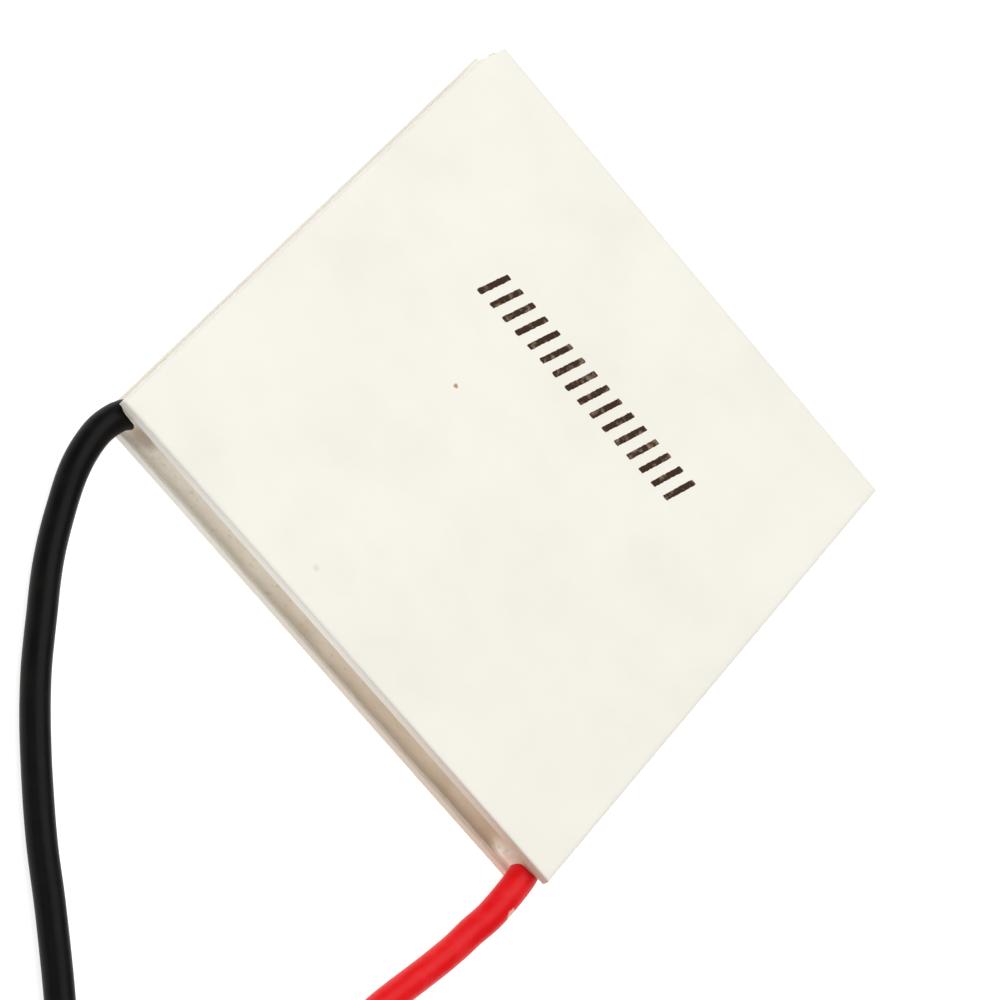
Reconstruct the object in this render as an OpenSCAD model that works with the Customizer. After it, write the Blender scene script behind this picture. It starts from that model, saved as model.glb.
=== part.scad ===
// Thermoelectric cooling module: two alumina plates with a snake of bismuth telluride legs
// between them, soldered on copper tabs, sealed round its edge, with two insulated leads.
// The hot side lies on the surface. X runs along the lead edge, the leads leave toward -Y.

/* [Plates] */
// Side of the square ceramic plates
plate_side = 40; // [30:0.5:50]
// Thickness of the hot side plate
hot_plate_t = 0.8; // [0.6:0.05:1.5]
// Thickness of the cold side plate
cold_plate_t = 0.8; // [0.6:0.05:1.5]
// Length of the small break in one corner of the cold side plate, along its edges
corner_break = 0.6; // [0.2:0.1:1.5]

/* [Legs and tabs] */
// Legs along each side of the array
legs_per_side = 16; // [16:2:18]
// Side of a square leg
leg_side = 1.4; // [0.8:0.1:1.6]
// Height of a leg with its solder
leg_h = 1.6; // [1.4:0.1:3]
// Thickness of the copper tabs
tab_t = 0.3; // [0.25:0.05:0.5]
// Copper left showing round the foot of a leg
tab_rim = 0.1; // [0.05:0.01:0.2]
// Width of bare plate from the edge to the nearest tab
array_margin = 1.1; // [1:0.1:2]

/* [Edge seal] */
// How far the seal stays back from the edge of the plates
seal_recess = 0.3; // [0.1:0.05:0.4]
// Depth of the hollow that the seal draws into along its outer face
seal_dish = 0.15; // [0.05:0.05:0.2]
// Gap between the seal and the nearest tab
seal_gap = 0.15; // [0.05:0.05:0.2]

/* [Leads] */
// Diameter of the insulated leads
lead_d = 1.8; // [1.4:0.1:2]
// Distance of the black lead from the left side of the plates
black_lead_inset = 1.3; // [1.25:0.05:2]
// Distance of the red lead from the right side of the plates
red_lead_inset = 1.4; // [1.25:0.05:2]
// Diameter of the tinned strand inside a lead
strand_d = 1; // [0.6:0.1:1]
// Length stripped and tinned at the free end of a lead
tip_length = 5; // [3:0.5:8]
// Length of the strand soldered to the module's own tab
strand_in = 1.6; // [1:0.1:2]
// Diameter of the solder bead over the strand
bead_d = 1.2; // [0.8:0.1:1.3]

/* [Lead coils] */
// Diameter of a coil at the middle of its turns
coil_mid_d = 21.6; // [20:0.4:24]
// Thickness of the tie round each coil
tie_t = 0.25; // [0.2:0.05:0.4]
// Width of the tie
tie_w = 2; // [1:0.5:4]

/* [Hidden] */
$fn = 48;
COLUMNS = [for (i = [1 : legs_per_side]) i];
function two(n) = str(n < 10 ? "0" : "", n);

// Number of columns that share one group of tabs
HOT_GROUP = 2;
COLD_GROUP = 4;
HOT_GROUPS = [for (g = [1 : ceil(legs_per_side / HOT_GROUP)]) g];
COLD_GROUPS = [for (g = [1 : ceil(legs_per_side / COLD_GROUP)]) g];

// Clearance between pieces that lie against each other along a round face
FIT = 0.05;

// Levels, from the surface up
tab_z = hot_plate_t;
leg_z = tab_z + tab_t;
cold_tab_z = leg_z + leg_h;
cold_plate_z = cold_tab_z + tab_t;
gap_h = cold_plate_z - hot_plate_t;

// The array of legs: a square grid of columns (along Y) and rows, centred on the plates
tab_w = leg_side + 2 * tab_rim;
last = legs_per_side - 1;
pitch = (plate_side - 2 * array_margin - tab_w) / last;
tab_l = pitch + tab_w;
function at(i) = (i - last / 2) * pitch;

// The leads enter through the two corners of row 0, which hold no leg
function has_leg(i, j) = !(j == 0 && (i == 0 || i == last));
function is_p(i, j) = (i + j) % 2 == 1;

// Edge seal: a square frame between the plates, from its inner to its outer half side
seal_out = plate_side / 2 - seal_recess;
seal_in = plate_side / 2 - array_margin + seal_gap;
seal_corner_r = 0.5;
collar_recess = 0.1;

// Leads: centre height between the plates, and where the insulation starts
lead_r = lead_d / 2;
lead_z = hot_plate_t + gap_h / 2;
lead_start_y = -seal_in - FIT;
lead_exit_y = -plate_side / 2;
black_x = -plate_side / 2 + black_lead_inset;
red_x = plate_side / 2 - red_lead_inset;
lead_sides = 8;
bead_sink = 0.4;

// Routes of the leads from the module to their coils, as they lie on the surface
black_route = [
    [black_x, lead_start_y, lead_z], [black_x, lead_exit_y, lead_z], [-19.1, -21.8, 1.8],
    [-18.8, -24.2, 1.5], [-17.6, -26.8, 1.1], [-15.9, -29.6, 0.9], [-13.9, -32.3, 0.9],
    [-11.8, -35, 0.9], [-9.6, -37.4, 0.9], [-7.1, -39.8, 0.9], [-4.4, -42.2, 0.9],
    [-1.6, -44.4, 0.9], [1.2, -46.7, 0.9], [4, -49.1, 0.9], [6.1, -50.9, 1]];
red_route = [
    [red_x, lead_start_y, lead_z], [red_x, lead_exit_y, lead_z], [18.9, -21.7, 1.8],
    [19.1, -23.5, 1.5], [19, -25, 1.2], [18.9, -26.5, 1], [18.6, -28.5, 0.9],
    [18.2, -30.5, 0.9], [17.8, -32.5, 1]];

// Coils: turns two wide and two high, lying on the tie that holds them
black_coil = [5.7, -66];
red_coil = [27.2, -43.8];
black_coil_from = 49;
red_coil_from = 166;
black_coil_to = -90;
red_coil_to = 0;
black_winds = -1;
red_winds = 1;
coil_lift = tie_t + FIT;
coil_mid_r = coil_mid_d / 2;
coil_out_r = coil_mid_r + lead_d;
turn_r = coil_out_r - lead_r;
tie_angle = -43;

// Free end of each lead: level off the top turn, then down to the surface
end_from = sqrt(pow(coil_out_r + lead_r + FIT, 2) - pow(turn_r, 2));
end_level = 3;
end_drop = 10;
black_end_l = 15;
red_end_l = 25;

function smooth(t) = let (u = max(0, min(1, t))) u * u * (3 - 2 * u);
function end_z(s) = let (top = coil_lift + lead_d + lead_r)
    top - (top - lead_r) * smooth((s - end_level) / end_drop);
// Point at distance s along the straight line that touches a coil's outer turn
function tangent(c, a, winds, s, z) =
    [c[0] + turn_r * cos(a) - winds * s * sin(a), c[1] + turn_r * sin(a) + winds * s * cos(a), z];
function end_route(c, a, winds, l) = let (n = round((l - end_from) / 2))
    [for (k = [0 : n]) let (s = end_from + (l - end_from) * k / n) tangent(c, a, winds, s, end_z(s))];

// Tube swept along a list of points: one ring of corners at each point, and flat ends
function unit(v) = v / norm(v);
function heading(p, i) = unit(p[min(i + 1, len(p) - 1)] - p[max(i - 1, 0)]);
function ring(p, i, r, n) = let (
        h = heading(p, i),
        side = unit(cross(h, [0, 0, 1])),
        up = cross(side, h))
    [for (k = [0 : n - 1]) let (a = 360 * (k + 0.5) / n) p[i] + r * (cos(a) * side + sin(a) * up)];
module tube(p, r, n = lead_sides) {
    points = [for (i = [0 : len(p) - 1]) each ring(p, i, r, n)];
    sides = [for (i = [0 : len(p) - 2]) for (k = [0 : n - 1])
        let (a = i * n + k, b = i * n + (k + 1) % n)
        each [[a, b, a + n], [b, b + n, a + n]]];
    foot = [[for (k = [0 : n - 1]) n - 1 - k]];
    head = [[for (k = [0 : n - 1]) (len(p) - 1) * n + k]];
    polyhedron(points = points, faces = concat(sides, foot, head), convexity = 6);
}

module plate(t) {
    linear_extrude(t) square(plate_side, center = true);
}

module hot_side_plate() {
    color("ivory") plate(hot_plate_t);
}

// The far left corner of the cold side plate has a small break in it
module cold_side_plate() {
    h = plate_side / 2;
    color("ivory") translate([0, 0, cold_plate_z]) difference() {
        plate(cold_plate_t);
        translate([0, 0, -1]) linear_extrude(cold_plate_t + 2) polygon([
            [-h - 1, h - corner_break * 1.1],
            [-h, h - corner_break * 1.1],
            [-h + corner_break * 0.4, h - corner_break * 0.8],
            [-h + corner_break * 0.6, h - corner_break * 0.3],
            [-h + corner_break, h],
            [-h + corner_break, h + 1],
            [-h - 1, h + 1]]);
    }
}

module rounded_square(side, r) {
    square([side, side - 2 * r], center = true);
    square([side - 2 * r, side], center = true);
    for (x = [-1, 1], y = [-1, 1]) translate([x, y] * (side / 2 - r)) circle(r);
}

// The run of the seal round the gap, drawn in along its outer face
module seal_run() {
    dish_r = (pow(gap_h / 2, 2) + pow(seal_dish, 2)) / (2 * seal_dish);
    difference() {
        translate([0, 0, hot_plate_t]) linear_extrude(gap_h) difference() {
            rounded_square(2 * seal_out, seal_corner_r);
            square(2 * seal_in, center = true);
        }
        for (a = [0, 90, 180, 270]) rotate(a)
            translate([seal_out - seal_dish + dish_r, 0, hot_plate_t + gap_h / 2])
                rotate([90, 0, 0]) cylinder(r = dish_r, h = 2 * plate_side, center = true, $fn = 96);
    }
}

// A round bar along Y, from y = from outward to y = to
module bar(x, r, from, to) {
    translate([x, from, lead_z]) rotate([90, 0, 0]) cylinder(r = r, h = from - to);
}

// A bead of silicone with a collar of it round each lead, where strand and lead pass through
module edge_seal() {
    color("seashell") difference() {
        union() {
            seal_run();
            for (x = [black_x, red_x]) bar(x, gap_h / 2, -seal_in, lead_exit_y + collar_recess);
        }
        for (x = [black_x, red_x]) {
            bar(x, lead_r + FIT, -seal_in, lead_exit_y);
            bar(x, strand_d / 2 + FIT, -seal_in + strand_in, -seal_in);
        }
    }
}

module leg(i, j) {
    translate([at(i) - leg_side / 2, at(j) - leg_side / 2, leg_z]) cube([leg_side, leg_side, leg_h]);
}

module legs_column(i, p_type) {
    color(p_type ? "slategray" : "dimgray")
        for (j = [0 : last]) if (has_leg(i, j) && is_p(i, j) == p_type) leg(i, j);
}

// A tab that joins cells (i, j) and (i, j + 1), or with across, (i, j) and (i + 1, j)
module tab(i, j, z, across = false) {
    translate([at(i) - tab_w / 2, at(j) - tab_w / 2, z])
        cube(across ? [tab_l, tab_w, tab_t] : [tab_w, tab_l, tab_t]);
}

module hot_tabs(g) {
    first = (g - 1) * HOT_GROUP;
    color("peru") for (i = [first : min(first + HOT_GROUP - 1, last)], j = [0 : 2 : last])
        tab(i, j, tab_z);
}

// The cold side joins the rows in between, and turns the snake round at both ends of a column
module cold_tabs(g) {
    first = (g - 1) * COLD_GROUP;
    color("peru") for (i = [first : min(first + COLD_GROUP - 1, last)]) {
        for (j = [1 : 2 : last - 2]) tab(i, j, cold_tab_z);
        if (i % 2 == 0) tab(i, last, cold_tab_z, across = true);
        else if (i < last) tab(i, 0, cold_tab_z, across = true);
    }
}

// The strand lies over the corner tab in a bead of solder, which is flat where it meets the tab
module solder_joint(x, side) {
    bead_x = side * (-at(0) + (tab_w - bead_d) / 2);
    bead_y = at(0) - tab_w / 2;
    color("silver") {
        bar(x, strand_d / 2, lead_start_y + strand_in, lead_start_y);
        intersection() {
            translate([bead_x, bead_y, leg_z + bead_sink]) rotate([-90, 0, 0])
                cylinder(d = bead_d, h = tab_w);
            translate([bead_x - bead_d, bead_y, leg_z]) cube([2 * bead_d, tab_w, 2 * bead_d]);
        }
    }
}

module coil_section(grow, r) {
    square([2 * lead_d + 2 * grow - 2 * r, 2 * lead_d + 2 * grow], center = true);
    square([2 * lead_d + 2 * grow, 2 * lead_d + 2 * grow - 2 * r], center = true);
    for (x = [-1, 1], y = [-1, 1]) translate([x, y] * (lead_d + grow - r)) circle(r);
}

module coil(c) {
    translate([c[0], c[1], coil_lift + lead_d])
        rotate_extrude($fn = 96) translate([coil_mid_r, 0]) coil_section(0, lead_r);
}

// A flat strip wound once round the turns
module tie(c) {
    sweep = tie_w / coil_mid_r * 180 / PI;
    color("white") translate([c[0], c[1], coil_lift + lead_d]) rotate(tie_angle - sweep / 2)
        rotate_extrude(angle = sweep, $fn = 96) translate([coil_mid_r, 0]) difference() {
            coil_section(FIT + tie_t, lead_r + FIT + tie_t);
            coil_section(FIT, lead_r + FIT);
        }
}

module tip(c, a, winds, l) {
    p = tangent(c, a, winds, l, lead_r);
    color("silver") translate(p) rotate([0, 90, a + winds * 90])
        cylinder(d = strand_d, h = tip_length);
}

module black_solder_joint() { solder_joint(black_x, -1); }
module red_solder_joint() { solder_joint(red_x, 1); }

module black_lead() {
    color([0.08, 0.07, 0.06]) tube(concat(black_route,
        [tangent(black_coil, black_coil_from, black_winds, -end_from, lead_r + coil_lift / 2)]), lead_r);
}
module red_lead() {
    color([0.85, 0.06, 0.08]) tube(concat(red_route,
        [tangent(red_coil, red_coil_from, red_winds, -end_from, lead_r + coil_lift / 2)]), lead_r);
}

module black_lead_coil() { color([0.08, 0.07, 0.06]) coil(black_coil); }
module red_lead_coil() { color([0.85, 0.06, 0.08]) coil(red_coil); }

module black_lead_tie() { tie(black_coil); }
module red_lead_tie() { tie(red_coil); }

module black_lead_end() {
    color([0.08, 0.07, 0.06]) tube(end_route(black_coil, black_coil_to, black_winds, black_end_l), lead_r);
}
module red_lead_end() {
    color([0.85, 0.06, 0.08]) tube(end_route(red_coil, red_coil_to, red_winds, red_end_l), lead_r);
}

module black_lead_tip() { tip(black_coil, black_coil_to, black_winds, black_end_l); }
module red_lead_tip() { tip(red_coil, red_coil_to, red_winds, red_end_l); }

hot_side_plate();
cold_side_plate();
edge_seal();
for (i = COLUMNS) {
    legs_column(i - 1, true);
    legs_column(i - 1, false);
}
for (g = HOT_GROUPS) hot_tabs(g);
for (g = COLD_GROUPS) cold_tabs(g);
black_solder_joint();
black_lead();
black_lead_coil();
black_lead_tie();
black_lead_end();
black_lead_tip();
red_solder_joint();
red_lead();
red_lead_coil();
red_lead_tie();
red_lead_end();
red_lead_tip();
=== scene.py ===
import math
import random

import bmesh
import bpy
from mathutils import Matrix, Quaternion, Vector, noise


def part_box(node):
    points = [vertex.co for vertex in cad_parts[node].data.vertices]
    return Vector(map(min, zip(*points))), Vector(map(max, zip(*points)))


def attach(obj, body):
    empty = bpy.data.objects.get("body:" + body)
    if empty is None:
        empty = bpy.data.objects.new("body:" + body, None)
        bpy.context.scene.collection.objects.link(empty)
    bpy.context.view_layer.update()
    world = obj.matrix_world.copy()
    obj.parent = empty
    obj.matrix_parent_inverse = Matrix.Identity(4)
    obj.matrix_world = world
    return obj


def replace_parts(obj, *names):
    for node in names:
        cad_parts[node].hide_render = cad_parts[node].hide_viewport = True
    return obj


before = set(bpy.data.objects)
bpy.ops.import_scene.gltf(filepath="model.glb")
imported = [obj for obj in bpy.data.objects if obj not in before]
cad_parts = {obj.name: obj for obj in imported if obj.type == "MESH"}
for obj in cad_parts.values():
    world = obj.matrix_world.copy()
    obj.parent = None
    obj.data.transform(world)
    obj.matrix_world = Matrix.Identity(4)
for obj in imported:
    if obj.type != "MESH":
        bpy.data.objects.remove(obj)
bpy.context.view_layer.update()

# ---------------------------------------------------------------- camera
# It stands before the lead edge and looks down on the cold side, turned on its own axis
# until the square plates lie as a diamond with the lead edge at the lower left.
MM = 0.001
camera_stand = Vector((-37.31, -131.04, 193.88)) * MM
camera_aim = Vector((1.96, -1.48, 0)) * MM
camera_turn = math.radians(63.14)

camera = bpy.data.objects.new("camera", bpy.data.cameras.new("camera"))
camera.data.sensor_width = 36
camera.data.lens = 130.66
camera.data.clip_start, camera.data.clip_end = 0.01, 10
camera.location = camera_stand
camera.rotation_mode = "QUATERNION"
camera.rotation_quaternion = (camera_aim - camera_stand).to_track_quat("-Z", "Y") @ Quaternion(
    (0, 0, 1), camera_turn)
bpy.context.scene.collection.objects.link(camera)
bpy.context.scene.camera = camera

# ---------------------------------------------------------------- leads
# Two stranded wires in soft PVC, black for minus and red for plus, extruded round the
# strand. They leave through the seal, bend down to the surface, and their spare length is
# wound two turns wide and two high, as it comes packed.
lead_d = 1.8
lead_start_y, lead_exit_y, lead_z = -19.1, -20, 1.9
# The routes of the CAD solids, but the soft leads lean nearer the corners where they come
# out. The second point of each is where it leaves the seal.
routes = {
    "black": [
        (-18.9, lead_start_y, lead_z), (-19.38, lead_exit_y, lead_z), (-19.55, -21.8, 1.8),
        (-18.95, -24.2, 1.5), (-17.6, -26.8, 1.1), (-15.9, -29.6, 0.9), (-13.9, -32.3, 0.9),
        (-11.8, -35, 0.9), (-9.6, -37.4, 0.9), (-7.1, -39.8, 0.9), (-4.4, -42.2, 0.9),
        (-1.6, -44.4, 0.9), (1.2, -46.7, 0.9), (4, -49.1, 0.9), (6.1, -50.9, 1)],
    "red": [
        (18.75, lead_start_y, lead_z), (18.98, lead_exit_y, lead_z), (19.1, -21.7, 1.8),
        (19.15, -23.5, 1.5), (19, -25, 1.2), (18.9, -26.5, 1), (18.6, -28.5, 0.9),
        (18.2, -30.5, 0.9), (17.8, -32.5, 1)]}

# Each coil: its centre, the angle where the lead comes on, how far it turns from there in
# degrees, which way it winds, and how much runs off straight at the end
coils = {
    "black": dict(centre=(5.7, -66), start=49, turned=1219, winds=-1, free_end=15),
    "red": dict(centre=(27.2, -43.8), start=166, turned=1274, winds=1, free_end=25)}
outer_turn_r, inner_turn_r = 11.7, 9.9
lower_turn_z, upper_turn_z = 1.2, 3.0
# The lead crosses over to the next turn every 306 degrees, and takes 54 degrees to do it
turns_run, crossing = 306, 54
# The straight run onto the coil and how far it climbs there, and where along the free end
# the lead starts to come down, over what distance
lead_to_coil, climb = 6.8, 0.15
drop_start, drop_run = 3, 10


def ease(t):
    t = max(0, min(1, t))
    return t * t * (3 - 2 * t)


def off_coil(coil, angle, s, z):
    """The point at distance s along the straight line that leaves the outer turn at angle."""
    a, (x, y), w = math.radians(angle), coil["centre"], coil["winds"]
    return (x + outer_turn_r * math.cos(a) - w * s * math.sin(a),
            y + outer_turn_r * math.sin(a) + w * s * math.cos(a), z)


def wound(coil, step=7.5):
    """The turns: outside below, inside below, inside above, outside above."""
    points = []
    for k in range(round(coil["turned"] / step) + 1):
        turned = min(k * step, coil["turned"])
        inward = ease((turned - turns_run) / crossing) - ease((turned - 3 * turns_run) / crossing)
        upward = ease((turned - 2 * turns_run) / crossing)
        r = outer_turn_r + (inner_turn_r - outer_turn_r) * inward
        z = lower_turn_z + (upper_turn_z - lower_turn_z) * upward
        a = math.radians(coil["start"] + coil["winds"] * turned)
        points.append((coil["centre"][0] + r * math.cos(a), coil["centre"][1] + r * math.sin(a), z))
    return points


def lead_points(route, coil, step=1.5):
    """The route, the straight run onto the coil, its turns, and the free end off it."""
    onto = [off_coil(coil, coil["start"], -lead_to_coil * k, lower_turn_z - climb * k)
            for k in (1, 0.66, 0.33)]
    off, count = [], round(coil["free_end"] / step)
    leaves_at = coil["start"] + coil["winds"] * coil["turned"]
    for k in range(1, count + 1):
        s = coil["free_end"] * k / count
        z = upper_turn_z - (upper_turn_z - lead_d / 2) * ease((s - drop_start) / drop_run)
        off.append(off_coil(coil, leaves_at, s, z))
    return route + onto + wound(coil) + off


def curve_through(points, step=0.4):
    """Points in metres, a step apart, along the smooth curve through points in millimetres."""
    p = [Vector(q) for q in points]
    p = [2 * p[0] - p[1]] + p + [2 * p[-1] - p[-2]]
    fine = []
    for a, b, c, d in zip(p, p[1:], p[2:], p[3:]):
        n = max(1, math.ceil((c - b).length / step))
        for k in range(n):
            t = k / n
            fine.append(0.5 * (2 * b + (c - a) * t + (2 * a - 5 * b + 4 * c - d) * t * t
                               + (3 * b - a - 3 * c + d) * t ** 3) * MM)
    return fine + [p[-2] * MM]


def linear(code):
    """The linear colour of an sRGB hex value."""
    parts = [int(code[i:i + 2], 16) / 255 for i in (0, 2, 4)]
    return [c / 12.92 if c <= 0.04045 else ((c + 0.055) / 1.055) ** 2.4 for c in parts] + [1]


def new_material(name):
    """A new material, and the output that gives a point's place on the object, in metres."""
    material = bpy.data.materials.new(name)
    material.use_nodes = True
    return material, add(material, "TexCoord", {}, "Object")


def add(material, kind, inputs, out=0, **settings):
    """Adds a node and returns its output. inputs gives each socket its value or its link.

    Sockets go by number where names repeat. Mix: 0 the factor, 6 and 7 the two colours, and
    2 the colour that comes out. MapRange: 0 the value, from 1 and 2, to 3 and 4.
    """
    nodes = material.node_tree.nodes
    made = kind == "BsdfPrincipled"
    node = nodes["Principled BSDF"] if made else nodes.new("ShaderNode" + kind)
    for key, value in settings.items():
        setattr(node, key, value)
    for key, value in inputs.items():
        if isinstance(value, bpy.types.NodeSocket):
            material.node_tree.links.new(value, node.inputs[key])
        else:
            node.inputs[key].default_value = value
    return node.outputs[out]


def lumps_of(width):
    """The scale of a pattern whose lumps are so many millimetres wide."""
    return 1 / (width * MM)


def new_piece(name, verts, faces, material, sharp=40):
    """A mesh that rides on the module, smooth but for its edges sharper than that angle."""
    mesh = bpy.data.meshes.new(name)
    mesh.from_pydata(verts, [], faces)
    work = bmesh.new()
    work.from_mesh(mesh)
    bmesh.ops.recalc_face_normals(work, faces=work.faces)
    work.to_mesh(mesh)
    work.free()
    mesh.shade_smooth()
    mesh.set_sharp_from_angle(angle=math.radians(sharp))
    mesh.materials.append(material)
    obj = bpy.data.objects.new(name, mesh)
    bpy.context.scene.collection.objects.link(obj)
    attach(obj, "root")
    return obj


def swept(name, line, radius, sides, material, sharp=40):
    """A closed tube round a line. radius(s, turn) is in metres, s the distance along it."""
    verts, faces, s = [], [], 0
    side = Vector((1, 0, 0.01))
    for i, p in enumerate(line):
        ahead = (line[min(i + 1, len(line) - 1)] - line[max(i - 1, 0)]).normalized()
        side = (side - ahead * side.dot(ahead)).normalized()
        up = ahead.cross(side)
        s += (p - line[i - 1]).length if i else 0
        for k in range(sides):
            a = 2 * math.pi * k / sides
            verts.append(p + (side * math.cos(a) + up * math.sin(a)) * radius(s, a))
    for i in range(len(line) - 1):
        for k in range(sides):
            a, b = i * sides + k, i * sides + (k + 1) % sides
            faces.append((a, b, b + sides, a + sides))
    faces.append(tuple(range(sides)))
    faces.append(tuple(range(len(verts) - sides, len(verts))))
    return new_piece(name, verts, faces, material, sharp)


def rounded(left, radius):
    """The share of full width at left metres before an end that is rounded to radius, in mm."""
    return math.sqrt(1 - (1 - min(1, max(0, left) / (radius * MM))) ** 2)


# Flexible PVC, extruded: an even, waxy gloss over a faint unevenness some 1.5 mm long, and
# dull rubbed places. The grain is drawn about five times as coarse as the real 0.05 mm.
def extruded_pvc(name, body, rubbed, rubbed_share, roughness, shine, nick_highlight=None):
    m, place = new_material(name)
    waves = add(m, "TexNoise", {"Vector": place, "Scale": lumps_of(1.54), "Detail": 2})
    grain = add(m, "TexNoise", {"Vector": place, "Scale": lumps_of(0.25), "Detail": 2})
    patches = add(m, "MapRange", {0: waves, 1: 0.45, 2: 0.75, 4: rubbed_share})
    colour = add(m, "Mix", {0: patches, 6: linear(body), 7: linear(rubbed)}, 2, data_type="RGBA")
    if nick_highlight:
        # A painted highlight about 0.8 mm wide with a ragged edge, pale, at a nick where a tool has
        # caught the PVC
        away = add(m, "VectorMath", {0: place, 1: Vector(nick_highlight) * MM}, 1, operation="DISTANCE")
        ragged = add(m, "Math", {0: grain, 1: 0.5 * MM, 2: away}, operation="MULTIPLY_ADD")
        here = add(m, "MapRange", {0: ragged, 1: 0.58 * MM, 2: 0.68 * MM, 3: 0.8, 4: 0})
        colour = add(m, "Mix", {0: here, 6: colour, 7: linear("F2C9BE")}, 2, data_type="RGBA")
    gloss = add(m, "MapRange", {0: waves, 1: 0.3, 2: 0.7, 3: roughness, 4: roughness + 0.12})
    height = add(m, "Math", {0: grain, 1: 0.3, 2: waves}, operation="MULTIPLY_ADD")
    bump = add(m, "Bump", {"Height": height, "Strength": 0.35, "Distance": 0.06 * MM})
    add(m, "BsdfPrincipled", {"Base Color": colour, "Roughness": gloss, "Normal": bump, "IOR": 1.53,
                              "Specular IOR Level": shine})
    return m


# The ends are stripped and dipped: the twisted strand shows through a skin of tin, which has
# gathered at the tip in a rounded blob. The flat left on the tip, the grooves between the
# wires and how far the blob fills them are shares of the width.
tip_length, tip_inside, tip_round, tip_flat = 5, 0.6, 0.3, 0.1414
strand_d, wires, lay_length, groove = 1.0, 6, 9, 0.14
blob_length, blob_fades, blob_fills = 1.4, 1.2, 0.8


# Tin that has run on by dipping: bright and soft edged, with greyer clouds where it froze
def dipped_tin():
    m, place = new_material("dipped_tin")
    cloud = add(m, "TexNoise", {"Vector": place, "Scale": lumps_of(0.667), "Detail": 3})
    colour = add(m, "Mix", {0: cloud, 6: linear("DCDAD6"), 7: linear("A9A7A4")}, 2,
                 data_type="RGBA")
    gloss = add(m, "MapRange", {0: cloud, 3: 0.18, 4: 0.42})
    bump = add(m, "Bump", {"Height": cloud, "Strength": 0.3, "Distance": 0.04 * MM})
    add(m, "BsdfPrincipled", {"Base Color": colour, "Metallic": 1.0, "Roughness": gloss,
                              "Normal": bump})
    return m


tin = dipped_tin()


def tinned_end(name, start, ahead, rings=46, sides=36):
    """The strand from just inside the insulation to its tip, which is a rounded blob of tin."""
    whole = tip_length + tip_inside
    line = [start + ahead * (whole * k / rings - tip_inside) * MM for k in range(rings + 1)]

    def strand(s, a):
        wire = abs(math.sin(wires / 2 * (a - 2 * math.pi * s / (lay_length * MM))))
        blob = ease((s - (whole - blob_length) * MM) / (blob_fades * MM))
        filled = wire * (1 - blob) + blob_fills * blob
        closing = max(tip_flat, rounded(whole * MM - s, tip_round))
        return strand_d / 2 * MM * (1 - groove + groove * filled) * closing

    return swept(name, line, strand, sides, tin, 60)


pvc = {"black": extruded_pvc("black_extruded_pvc", "060505", "15130F", 0.5, 0.33, 0.09),
       "red": extruded_pvc("red_extruded_pvc", "E4040D", "EC2A30", 0.8, 0.34, 0.16,
                           nick_highlight=(19.85, -22.6, 2.1))}
# Shares of the diameter: the leads are a little stout where they run free and more so over
# the 8 mm by the seal, thinner in the coils, and uneven over some 2.5 mm. Distances in mm.
stout, swollen_root, thinner_coiled, uneven = 0.035, 0.04, 0.055, 0.012
root_end, root_fades, coiled_from, coiled_fades = 3, 5, 40, 25
cut_round, cut_depth = 0.12, 0.14
leads, tips, lead_lines = {}, {}, {}
for lead, route in routes.items():
    line = curve_through(lead_points(route, coils[lead]))
    total = sum((b - a).length for a, b in zip(line, line[1:]))

    def insulation(s, a):
        share = 1 + stout + uneven * noise.noise(Vector((s / (2.5 * MM), math.cos(a), math.sin(a))))
        share += swollen_root * (1 - ease((s - root_end * MM) / (root_fades * MM)))
        share -= thinner_coiled * ease((s - coiled_from * MM) / (coiled_fades * MM))
        cut = 1 - cut_depth + cut_depth * rounded(total - s, cut_round)
        return lead_d / 2 * MM * share * cut

    leads[lead] = swept(f"{lead}_lead_insulation", line, insulation, 24, pvc[lead])
    tips[lead] = tinned_end(f"{lead}_lead_tinned_end", line[-1], (line[-1] - line[-3]).normalized())
    lead_lines[lead] = line
    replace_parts(leads[lead], f"{lead}_lead", f"{lead}_lead_coil", f"{lead}_lead_end")
    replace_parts(tips[lead], f"{lead}_lead_tip")

# ---------------------------------------------------------------- ties
# A narrow strip of white polyethylene tape holds each coil. It goes round all the turns
# once, laps over its own start and is pressed down on the outside of the coil.
tape_t, tape_w, tape_gap = 0.11, 2.0, 0.05
lap, lap_step, lap_lift = 3.2, 0.6, 1.05
tie_angle = math.radians(-43)
# The turns' middles stand this far from the middle of the coil's section, each way
turns_half = lead_d / 2


def tape_loop(count=120):
    """Points (across, up) round the coil's section, the lap lying on the strip's own start."""
    r, flat = lead_d / 2 + tape_gap + tape_t / 2, 2 * turns_half
    once = 4 * flat + 2 * math.pi * r
    points = []
    for k in range(count + 1):
        run = (once + lap) * k / count
        corner, along = divmod(run % once, once / 4)
        bent = max(0, along - flat) / r
        r_here = r + tape_t * lap_lift * ease((run - once + lap_step) / lap_step)
        x = turns_half + r_here * math.cos(bent)
        y = min(along, flat) - turns_half + r_here * math.sin(bent)
        c, s = math.cos(corner * math.pi / 2), math.sin(corner * math.pi / 2)
        points.append((x * c - y * s, x * s + y * c))
    return points


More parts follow.
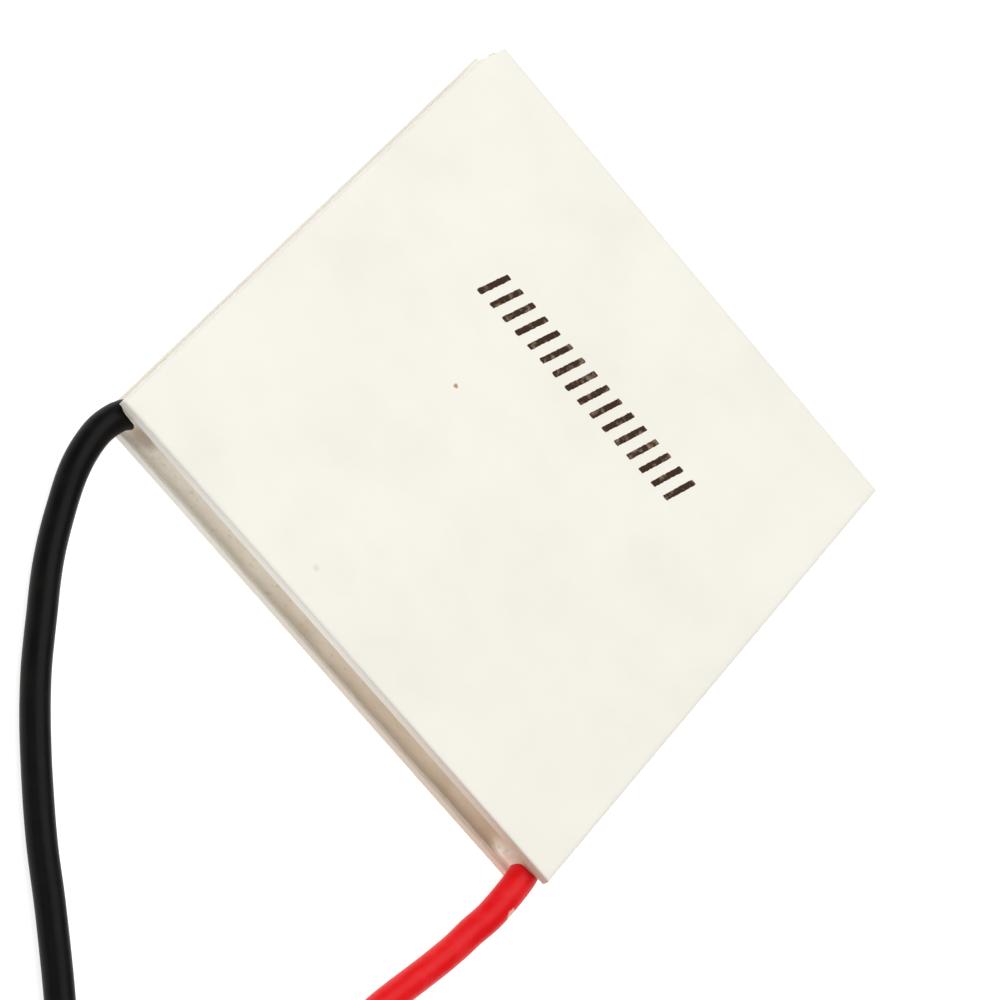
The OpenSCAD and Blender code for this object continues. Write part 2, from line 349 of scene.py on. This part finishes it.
# Polyethylene tape, calendered: white, half matt, with ribs across it 0.5 mm apart. A wave
# pattern of scale 1 repeats every pi / 10.
def calendered_tape():
    m, place = new_material("white_calendered_tape")
    ribs = add(m, "TexWave", {"Vector": place, "Scale": math.pi / 10 * lumps_of(0.491),
                              "Distortion": 1.5, "Detail": 2}, 1)
    dust = add(m, "TexNoise", {"Vector": place, "Scale": lumps_of(1.11), "Detail": 4})
    colour = add(m, "Mix", {0: dust, 6: linear("F4F4F1"), 7: linear("DEDDD8")}, 2, data_type="RGBA")
    gloss = add(m, "MapRange", {0: dust, 3: 0.3, 4: 0.5})
    bump = add(m, "Bump", {"Height": ribs, "Strength": 0.25, "Distance": 0.03 * MM})
    add(m, "BsdfPrincipled", {"Base Color": colour, "Roughness": gloss, "Normal": bump,
                              "IOR": 1.51})
    return m


tape = calendered_tape()
middle_r, middle_z = (outer_turn_r + inner_turn_r) / 2, (lower_turn_z + upper_turn_z) / 2
loop, across = tape_loop(), 8
rows, cols = len(loop), across + 1
half = rows * cols
for lead, coil in coils.items():
    verts, faces = [], []
    for layer in (-0.5, 0.5):
        for i, (x, y) in enumerate(loop):
            before, after = Vector(loop[max(i - 1, 0)]), Vector(loop[min(i + 1, rows - 1)])
            out = Vector(((after - before).y, -(after - before).x)).normalized() * tape_t * layer
            for k in range(cols):
                a = tie_angle + tape_w / middle_r * (k / across - 0.5)
                r = middle_r + x + out.x
                verts.append(Vector((coil["centre"][0] + r * math.cos(a),
                                     coil["centre"][1] + r * math.sin(a),
                                     middle_z + y + out.y)) * MM)
    for i in range(rows - 1):
        for k in range(across):
            a = i * cols + k
            faces.append((a, a + 1, a + cols + 1, a + cols))
            faces.append((half + a, half + a + cols, half + a + cols + 1, half + a + 1))
        for k in (0, across):
            a = i * cols + k
            faces.append((a, a + cols, half + a + cols, half + a))
    for i in (0, rows - 1):
        for k in range(across):
            a = i * cols + k
            faces.append((a, a + 1, half + a + 1, half + a))
    band = new_piece(f"{lead}_lead_tape", verts, faces, tape)
    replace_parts(band, f"{lead}_lead_tie")

# ---------------------------------------------------------------- hot side plate
# A tile of 96% alumina, 0.8 mm thick, dry pressed, fired and ground flat on both faces. It
# was scored by laser and snapped, which leaves its edges square, faintly ragged and nicked.
hot_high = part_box("hot_side_plate")[1]
plate_half = round(hot_high.x / MM, 3)
edge_break, ragged_by, ragged_per_mm = 0.13, 0.03, 1.3
nick_count, nick_points, nick_depths = 26, (0.8, 2.6), (0.03, 0.1)
# Rings from the lower face round the edge to the upper one: how far in, in edge breaks, and
# how far up, as a share of the thickness. Nicks bite at the second and third ring.
lower_rings = [(3.0, 0), (1.0, 0), (0.42, 0.04), (0.1, 0.1), (0, 0.18)]
edge_rings = lower_rings + [(0, 0.5)] + [(into, 1 - up) for into, up in lower_rings[::-1]]
# Each face is closed by rings of its outline drawn in to these shares, round one middle point
face_rings = (0.7, 0.57, 0.38)


def tile(name, node, material, seed, lost_corner=()):
    """A square tile in the node's own box. lost_corner is the line of a break, in mm."""
    low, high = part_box(node)
    chance = random.Random(seed)
    corners = [(low.x, low.y), (high.x, low.y), (high.x, high.y)]
    corners += [(x * MM, y * MM) for x, y in lost_corner] or [(low.x, high.y)]
    outline, step = [], 0.25 * MM
    for (x0, y0), (x1, y1) in zip(corners, corners[1:] + corners[:1]):
        n = max(1, round(math.hypot(x1 - x0, y1 - y0) / step))
        outline += [Vector((x0 + (x1 - x0) * k / n, y0 + (y1 - y0) * k / n)) for k in range(n)]
    count = len(outline)
    nicks = [(chance.randrange(count), chance.uniform(*nick_points),
              chance.uniform(*nick_depths), chance.random() < 0.5) for _ in range(nick_count)]
    verts, faces = [], []
    for into, up in edge_rings:
        for i, p in enumerate(outline):
            x, y = p.x / MM * ragged_per_mm, p.y / MM * ragged_per_mm
            ragged = ragged_by * abs(noise.noise(Vector((x, y, seed + up * 2))))
            for at, width, depth, above in nicks:
                off = min(abs(i - at), count - abs(i - at)) / width
                if off < 1 and above == (up > 0.5) and 0.3 < into < 3:
                    ragged += depth * (1 - off * off)
            inset = (into * edge_break + (ragged if into < 3 else 0)) * MM
            xy = p * (1 - inset / high.x)
            verts.append((xy.x, xy.y, low.z + (high.z - low.z) * up))
    for ring in range(len(edge_rings) - 1):
        for i in range(count):
            a, b = ring * count + i, ring * count + (i + 1) % count
            faces.append((a, b, b + count, a + count))
    for ring, z in ((0, low.z), ((len(edge_rings) - 1) * count, high.z)):
        for share in face_rings:
            first = len(verts)
            verts += [(verts[ring + i][0] * share, verts[ring + i][1] * share, z)
                      for i in range(count)]
            faces += [(ring + i, ring + (i + 1) % count, first + (i + 1) % count, first + i)
                      for i in range(count)]
            ring = first
        verts.append((0, 0, z))
        faces += [(ring + i, ring + (i + 1) % count, len(verts) - 1) for i in range(count)]
    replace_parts(new_piece(name, verts, faces, material, 70), node)


# Fired alumina, ground: ivory white and half matt, with grain too fine to see, here drawn
# 0.2 mm wide, clouds a few millimetres wide from firing, painted shade along its broken
# edges, and tan on its side by the leads, deepening toward the red one.
def ground_alumina(name, face, cloud_colour, edge_shade_colour, side_tint_colour, tint_from, tint_to):
    m, place = new_material(name)
    grain = add(m, "TexNoise", {"Vector": place, "Scale": lumps_of(0.2), "Detail": 2})
    cloud = add(m, "TexNoise", {"Vector": place, "Scale": lumps_of(6.25), "Detail": 4,
                                "Roughness": 0.6})
    cloudy = add(m, "MapRange", {0: cloud, 1: 0.4, 2: 0.72})
    colour = add(m, "Mix", {0: cloudy, 6: linear(face), 7: linear(cloud_colour)}, 2,
                 data_type="RGBA")
    x, y, _ = add(m, "SeparateXYZ", {0: place}).node.outputs
    across, along = (add(m, "Math", {0: c}, operation="ABSOLUTE") for c in (x, y))
    out = add(m, "Math", {0: across, 1: along}, operation="MAXIMUM")
    # Painted shade: the face turns darker within 0.3 mm of the edges
    edge_shade = add(m, "MapRange", {0: out, 1: (plate_half - 0.3) * MM,
                                2: (plate_half - 0.05) * MM, 4: 0.8})
    colour = add(m, "Mix", {0: edge_shade, 6: colour, 7: linear(edge_shade_colour)}, 2, data_type="RGBA")
    # Tan on the side by the leads, going deeper toward the red lead
    side = add(m, "MapRange", {0: y, 1: (0.15 - plate_half) * MM, 2: (0.01 - plate_half) * MM})
    toward_red = add(m, "MapRange", {0: x, 1: tint_from * MM, 2: tint_to * MM})
    side_tint = add(m, "Math", {0: side, 1: toward_red}, operation="MULTIPLY")
    colour = add(m, "Mix", {0: side_tint, 6: colour, 7: linear(side_tint_colour)}, 2, data_type="RGBA")
    gloss = add(m, "MapRange", {0: cloud, 1: 0.3, 2: 0.7, 3: 0.5, 4: 0.62})
    bump = add(m, "Bump", {"Height": grain, "Strength": 0.12, "Distance": 0.04 * MM})
    add(m, "BsdfPrincipled", {"Base Color": colour, "Roughness": gloss, "Normal": bump,
                              "IOR": 1.76})
    return m


hot_alumina = ground_alumina("ground_alumina_hot_side", "F1EDE2", "EDE8DB", "ECE8DE",
                             "D6C3AB", -12, 20)
tile("hot_side_tile", "hot_side_plate", hot_alumina, 3)


# ---------------------------------------------------------------- copper tabs
# Strips of 0.3 mm rolled copper, bonded to the inner faces of both plates. Each joins the
# feet of two legs, so that the whole array is one snake of legs in series. They are pink and
# bright, with brown tarnish in spots some 1.5 mm wide.
def bonded_copper():
    m, place = new_material("bonded_copper")
    rolled = add(m, "TexNoise", {"Vector": place, "Scale": lumps_of(0.4), "Detail": 3})
    tarnish = add(m, "TexNoise", {"Vector": place, "Scale": lumps_of(1.43), "Detail": 4})
    dark = add(m, "MapRange", {0: tarnish, 1: 0.45, 2: 0.75, 4: 0.7})
    colour = add(m, "Mix", {0: dark, 6: linear("FAD1C2"), 7: linear("B9785A")}, 2, data_type="RGBA")
    gloss = add(m, "MapRange", {0: tarnish, 3: 0.25, 4: 0.5})
    bump = add(m, "Bump", {"Height": rolled, "Strength": 0.2, "Distance": 0.03 * MM})
    add(m, "BsdfPrincipled", {"Base Color": colour, "Metallic": 1.0, "Roughness": gloss,
                              "Normal": bump})
    return m


def finish_nodes(start, material):
    """Gives every CAD node whose name starts so its finish, and its shape stays."""
    for name, obj in sorted(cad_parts.items()):
        if name.startswith(start):
            obj.data.materials.clear()
            obj.data.materials.append(material)


copper = bonded_copper()
finish_nodes("hot_tabs_group_", copper)
finish_nodes("cold_tabs_group_", copper)


# ---------------------------------------------------------------- legs
# 254 blocks of bismuth telluride, p and n by turns, plated at both ends and soldered to the
# tabs. They are sawn from a grown ingot: the saw leaves fine lines round them, 0.2 mm apart,
# and the crystal shows as brighter and duller flakes.
def sawn_bismuth_telluride(name, bright, dull):
    m, place = new_material(name)
    lines = add(m, "TexWave", {"Vector": place, "Scale": math.pi / 10 * lumps_of(0.196),
                               "Distortion": 3, "Detail": 2}, 1, bands_direction="Z")
    flakes = add(m, "TexVoronoi", {"Vector": place, "Scale": lumps_of(0.333)})
    colour = add(m, "Mix", {0: flakes, 6: linear(bright), 7: linear(dull)}, 2, data_type="RGBA")
    gloss = add(m, "MapRange", {0: flakes, 3: 0.3, 4: 0.55})
    bump = add(m, "Bump", {"Height": lines, "Strength": 0.3, "Distance": 0.02 * MM})
    add(m, "BsdfPrincipled", {"Base Color": colour, "Metallic": 1.0, "Roughness": gloss,
                              "Normal": bump})
    return m


for kind, bright, dull in (("p", "A3A19F", "757372"), ("n", "B4B2B4", "87868A")):
    sawn = sawn_bismuth_telluride(f"sawn_{kind}_bismuth_telluride", bright, dull)
    finish_nodes(f"{kind}_legs_column_", sawn)


# ---------------------------------------------------------------- solder joints
# Each lead's strand lies over a corner tab and is held there by a bead of tin solder,
# flowed by hand. The bead is bright on top and dull where the flux has burnt.
def flowed_solder():
    m, place = new_material("flowed_solder")
    frost = add(m, "TexNoise", {"Vector": place, "Scale": lumps_of(0.556), "Detail": 4})
    flux = add(m, "MapRange", {0: frost, 1: 0.5, 2: 0.72, 4: 0.6})
    colour = add(m, "Mix", {0: flux, 6: linear("E2E2E0"), 7: linear("9A8F80")}, 2, data_type="RGBA")
    gloss = add(m, "MapRange", {0: frost, 3: 0.15, 4: 0.45})
    bump = add(m, "Bump", {"Height": frost, "Strength": 0.3, "Distance": 0.05 * MM})
    add(m, "BsdfPrincipled", {"Base Color": colour, "Metallic": 1.0, "Roughness": gloss,
                              "Normal": bump})
    return m


solder = flowed_solder()
for lead in routes:
    finish_nodes(f"{lead}_solder_joint", solder)

# ---------------------------------------------------------------- cold side plate
# The same tile as the hot side's, turned face up. One corner has lost a crumb, and its
# faces are cleaner, since they are kept for the mounting paste.
cold_low, cold_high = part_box("cold_side_plate")
lost_crumb = [(-19.42, 20), (-19.5, 19.75), (-19.58, 19.2), (-19.78, 18.45), (-20, 17.9)]
cold_alumina = ground_alumina("ground_alumina_cold_side", "F3F0E5", "F0ECE1", "ECE9E0",
                              "CDBBA6", 0, 17)
tile("cold_side_tile", "cold_side_plate", cold_alumina, 8, lost_crumb)

# ---------------------------------------------------------------- edge seal
# Silicone rubber, run by hand into the gap round all four sides. It has drawn in as it
# cured, climbs a little on each plate and up round the leads, and has dust stuck to it.
seal_out, seal_in, seal_round = plate_half - 0.3, plate_half - 0.95, 0.5
seal_low, seal_high = hot_high.z / MM - 0.01, cold_low.z / MM + 0.01
seal_mid, seal_h = (seal_low + seal_high) / 2, seal_high - seal_low
# How deep the face is drawn in, how far it climbs over the last fifth before each plate, and
# how far its collars round the leads and its corners by them stand out
seal_dish, seal_climb, climb_from = 0.19, 0.1, 0.8
collar, collar_fades, corner_bulge = 0.4, 0.4, 0.4
# Its waves: how deep they are, and how many to a millimetre along the seal and up it
seal_waves = ((0.09, 0.35, 0.5), (0.035, 1.7, 1.4))
# Where the leads come through the face
lead_x = (-19.3, 18.95)
# Lumps left by the nozzle: place along the lead edge, height, radius, how proud
lumps = [(17.2, 1.8, 1.0, 0.5), (-16.9, 1.6, 0.9, 0.16), (9.2, 2.3, 1.6, 0.08),
         (-6.5, 1.5, 2.2, 0.07)]


def seal_outline(half, radius, step=0.14, corner_steps=5):
    """A rounded square as places and directions outward, side by side from the lead side."""
    points, flat = [], half - radius
    n = round(2 * flat / step)
    for side in range(4):
        run = [(-flat + 2 * flat * k / n, -half, 0, -1) for k in range(n)]
        for k in range(corner_steps):
            a = math.pi / 2 * (k / corner_steps - 1)
            u, v = math.cos(a), math.sin(a)
            run.append((flat + radius * u, -flat + radius * v, u, v))
        c, s = math.cos(side * math.pi / 2), math.sin(side * math.pi / 2)
        points += [(x * c - y * s, x * s + y * c, u * c - v * s, u * s + v * c)
                   for x, y, u, v in run]
    return points


def seal_face(x, y, z, on_lead_side):
    """How far the outer face stands out of the seal's outline at this place, in mm."""
    across = 2 * (z - seal_mid) / seal_h
    out = -seal_dish * (1 - across ** 4)
    out += seal_climb * max(0, abs(across) - climb_from) / (1 - climb_from)
    for depth, along, up in seal_waves:
        out += depth * noise.noise(Vector((x * along, y * along, z * up)))
    if on_lead_side:
        for lx in lead_x:
            away = math.hypot(x - lx, z - lead_z) - lead_d / 2
            out += collar * math.exp(-max(0, away) / collar_fades)
        for lx, lz, r, proud in lumps:
            away = math.hypot(x - lx, (z - lz) * 1.2) / r
            out += proud * math.exp(-away * away * 1.5)
    else:
        out += corner_bulge * math.exp(-((y + seal_out) ** 2 + (z - lead_z) ** 2) / 0.9)
    return out


outline, levels = seal_outline(seal_out, seal_round), 25
verts, faces = [], []
for k in range(levels):
    z = seal_low + seal_h * k / (levels - 1)
    for x, y, u, v in outline:
        out = seal_face(x, y, z, v < -0.5)
        verts.append(Vector((x + u * out, y + v * out, z)) * MM)
for z in (seal_high, seal_low):
    for x, y, u, v in outline:
        verts.append(Vector((x * seal_in / seal_out, y * seal_in / seal_out, z)) * MM)
count, rings = len(outline), levels + 2
for k in range(rings):
    for i in range(count):
        a, b = k * count + i, k * count + (i + 1) % count
        c, d = (k + 1) % rings * count + (i + 1) % count, (k + 1) % rings * count + i
        faces.append((a, b, c, d))


# Silicone sealant, cured: off-white going to tan where dust and flux have stained it, more
# and more toward the red lead, with the satin skin and soft ripples that a spatula leaves.
# It is painted browner where the black lead comes out, a painted shadow beside the lead, and the
# lump by the red lead is fresher.
def cured_silicone():
    m, place = new_material("cured_silicone")
    ripple = add(m, "TexNoise", {"Vector": place, "Scale": lumps_of(2), "Detail": 3})
    dust = add(m, "TexNoise", {"Vector": place, "Scale": lumps_of(0.385), "Detail": 3})
    x = add(m, "SeparateXYZ", {0: place})
    toward_red = add(m, "MapRange", {0: x, 1: -20 * MM, 2: 18 * MM})
    drift = add(m, "Math", {0: ripple, 1: 0.5, 2: toward_red}, operation="MULTIPLY_ADD")
    tan = add(m, "MapRange", {0: drift, 1: 0.2, 2: 1.3})
    colour = add(m, "Mix", {0: tan, 6: linear("ECE4D4"), 7: linear("BEA889")}, 2, data_type="RGBA")
    # First a painted shadow, brown, beside the black lead's exit; then the fresher, whiter lump by
    # the red lead
    for middle, reach, tint in (((-17.4, -19.7, 1.9), 1.3, "B5A08C"),
                                ((17.35, -19.9, 1.7), 1.5, "F6EEDF")):
        away = add(m, "VectorMath", {0: place, 1: Vector(middle) * MM}, 1, operation="DISTANCE")
        near = add(m, "MapRange", {0: away, 1: reach * 0.4 * MM, 2: reach * MM, 3: 0.85, 4: 0})
        colour = add(m, "Mix", {0: near, 6: colour, 7: linear(tint)}, 2, data_type="RGBA")
    specks = add(m, "MapRange", {0: dust, 1: 0.58, 2: 0.72, 4: 0.35})
    colour = add(m, "Mix", {0: specks, 6: colour, 7: linear("AD9A80")}, 2, data_type="RGBA")
    gloss = add(m, "MapRange", {0: ripple, 3: 0.38, 4: 0.6})
    bump = add(m, "Bump", {"Height": ripple, "Strength": 0.5, "Distance": 0.1 * MM})
    add(m, "BsdfPrincipled", {"Base Color": colour, "Roughness": gloss, "Normal": bump,
                              "IOR": 1.41})
    return m


seal = new_piece("silicone_edge_seal", verts, faces, cured_silicone(), 60)
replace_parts(seal, "edge_seal")

# ---------------------------------------------------------------- ink
# A band of plain slanted strokes in brown ink, pad printed on the cold side and set a little
# askew. The film is thin and breaks up where the ceramic's grain shows through.
ink_lift, ink_under = 0.006, 0.02
ink_start, ink_end, ink_height = Vector((-9.4, 5.3)), Vector((9.0, 5.92)), 2.65
strokes, stroke_w, stroke_slant, stroke_round = 16, 0.46, 0.3, 0.1
ink_step, ink_ragged, corner_steps = 0.12, 0.022, 4
ink_rand = random.Random(5)


# Pad printing ink: dark brown, matt, with pinholes and thin places 0.2 to 0.6 mm wide
def printed_ink():
    m, place = new_material("brown_pad_printing_ink")
    film = add(m, "TexNoise", {"Vector": place, "Scale": lumps_of(0.4545), "Detail": 4})
    thin = add(m, "MapRange", {0: film, 1: 0.52, 2: 0.75, 4: 0.75})
    colour = add(m, "Mix", {0: thin, 6: linear("38200E"), 7: linear("A08A70")}, 2, data_type="RGBA")
    bump = add(m, "Bump", {"Height": film, "Strength": 0.3, "Distance": 0.01 * MM})
    add(m, "BsdfPrincipled", {"Base Color": colour, "Roughness": 0.7, "Normal": bump, "IOR": 1.48,
                              "Specular IOR Level": 0.25})
    return m


along_row = (ink_end - ink_start).normalized()
up_row = Vector((-along_row.y, along_row.x))
wide, tall = along_row * stroke_w, (up_row + along_row * stroke_slant) * ink_height
verts, faces = [], []
for stroke in range(strokes):
    foot = ink_start + (ink_end - ink_start) * stroke / (strokes - 1)
    ring = []
    for cx, cy, from_angle in ((1, 0, -90), (1, 1, 0), (0, 1, 90), (0, 0, 180)):
        middle = foot + wide * cx + tall * cy
        middle += along_row * stroke_round * (1 - 2 * cx) + up_row * stroke_round * (1 - 2 * cy)
        for k in range(corner_steps + 1):
            a = math.radians(from_angle + 90 * k / corner_steps)
            ring.append(middle + (along_row * math.cos(a) + up_row * math.sin(a)) * stroke_round)
    edge = []
    for p, q in zip(ring, ring[1:] + ring[:1]):
        n = max(1, round((q - p).length / ink_step))
        edge += [p + (q - p) * k / n
                 + Vector((ink_rand.uniform(-1, 1), ink_rand.uniform(-1, 1))) * ink_ragged
                 for k in range(n)]
    first, n = len(verts), len(edge)
    for z in (cold_high.z - ink_under * MM, cold_high.z + ink_lift * MM):
        verts += [(p.x * MM, p.y * MM, z) for p in edge]
    faces += [(first + i, first + (i + 1) % n, first + n + (i + 1) % n, first + n + i)
              for i in range(n)]
    faces += [tuple(range(first, first + n)), tuple(range(first + n, first + 2 * n))]
new_piece("ink_strokes", verts, faces, printed_ink())


# ---------------------------------------------------------------- specks
# Two crumbs of grit fused to the cold side's face when it was fired, one brown with iron
# and one pale grey. They are rough and matt, and mottled as fine as the eye can see.
def fused_grit(name, dark, pale):
    m, place = new_material(name)
    crumb = add(m, "TexNoise", {"Vector": place, "Scale": lumps_of(0.1667), "Detail": 3})
    colour = add(m, "Mix", {0: crumb, 6: linear(dark), 7: linear(pale)}, 2, data_type="RGBA")
    bump = add(m, "Bump", {"Height": crumb, "Strength": 0.4, "Distance": 0.03 * MM})
    add(m, "BsdfPrincipled", {"Base Color": colour, "Roughness": 0.7, "Normal": bump, "IOR": 1.6})
    return m


# A crumb is drawn in rings: the share of its radius, and the height over the face in mm
crumb_rings = ((1, -0.02), (0.95, 0.004), (0.7, 0.018), (0.35, 0.028))
around, crumb_uneven = 14, 0.35
for name, x, y, r, material in (
        ("brown_speck", -6.0, -0.85, 0.17, fused_grit("iron_stained_grit", "A67C5E", "CDB096")),
        ("grey_speck", -4.4, -17.6, 0.22, fused_grit("grey_grit", "E6E2D6", "EDEAE0"))):
    verts, faces = [], []
    for share, lift in crumb_rings:
        for k in range(around):
            a = 2 * math.pi * k / around
            wobble = noise.noise(Vector((math.cos(a) * 1.5, math.sin(a) * 1.5, x)))
            out = r * share * (1 + crumb_uneven * wobble)
            verts.append(((x + out * math.cos(a)) * MM, (y + out * math.sin(a)) * MM,
                          cold_high.z + lift * MM))
    for ring in range(len(crumb_rings) - 1):
        for k in range(around):
            a, b = ring * around + k, ring * around + (k + 1) % around
            faces.append((a, b, b + around, a + around))
    faces += [tuple(range(around)), tuple(range(len(verts) - around, len(verts)))]
    new_piece(name, verts, faces, material)

# ---------------------------------------------------------------- studio
# The module lies on a plain white board under a wide soft light, with a pale room round
# it. The board is a shade lighter than the ceramic, so that the plates stand out.
bpy.context.scene.view_settings.view_transform = "Standard"
board_half = 1.5
board_mesh = bpy.data.meshes.new("white_board")
board_mesh.from_pydata([(x * board_half, y * board_half, 0)
                        for x, y in ((-1, -1), (1, -1), (1, 1), (-1, 1))], [], [(0, 1, 2, 3)])
board = bpy.data.objects.new("white_board", board_mesh)
bpy.context.scene.collection.objects.link(board)
matt_board, place = new_material("white_matt_board")
tooth = add(matt_board, "TexNoise", {"Vector": place, "Scale": lumps_of(1.11), "Detail": 3})
tone = add(matt_board, "Mix", {0: tooth, 6: linear("CCCCCA"), 7: linear("C8C8C6")}, 2,
           data_type="RGBA")
add(matt_board, "BsdfPrincipled", {"Base Color": tone, "Roughness": 0.9,
                                   "Emission Color": (1, 1, 1, 1), "Emission Strength": 0.75})
board_mesh.materials.append(matt_board)

world = bpy.data.worlds.new("pale_room")
world.use_nodes = True
world.node_tree.nodes["Background"].inputs["Color"].default_value = (1, 1, 1, 1)
world.node_tree.nodes["Background"].inputs["Strength"].default_value = 0.43
bpy.context.scene.world = world

for name, place, aim, size, power in (
        ("overhead_softbox", (-0.06, 0.22, 0.62), (0, -0.02, 0), 0.7, 3.25),
        ("front_fill", (-0.35, -0.45, 0.4), (0, -0.02, 0), 0.5, 0.5)):
    light = bpy.data.lights.new(name, "AREA")
    light.shape, light.size, light.energy = "SQUARE", size, power
    lamp = bpy.data.objects.new(name, light)
    lamp.location = place
    lamp.rotation_mode = "QUATERNION"
    lamp.rotation_quaternion = (Vector(aim) - Vector(place)).to_track_quat("-Z", "Y")
    bpy.context.scene.collection.objects.link(lamp)
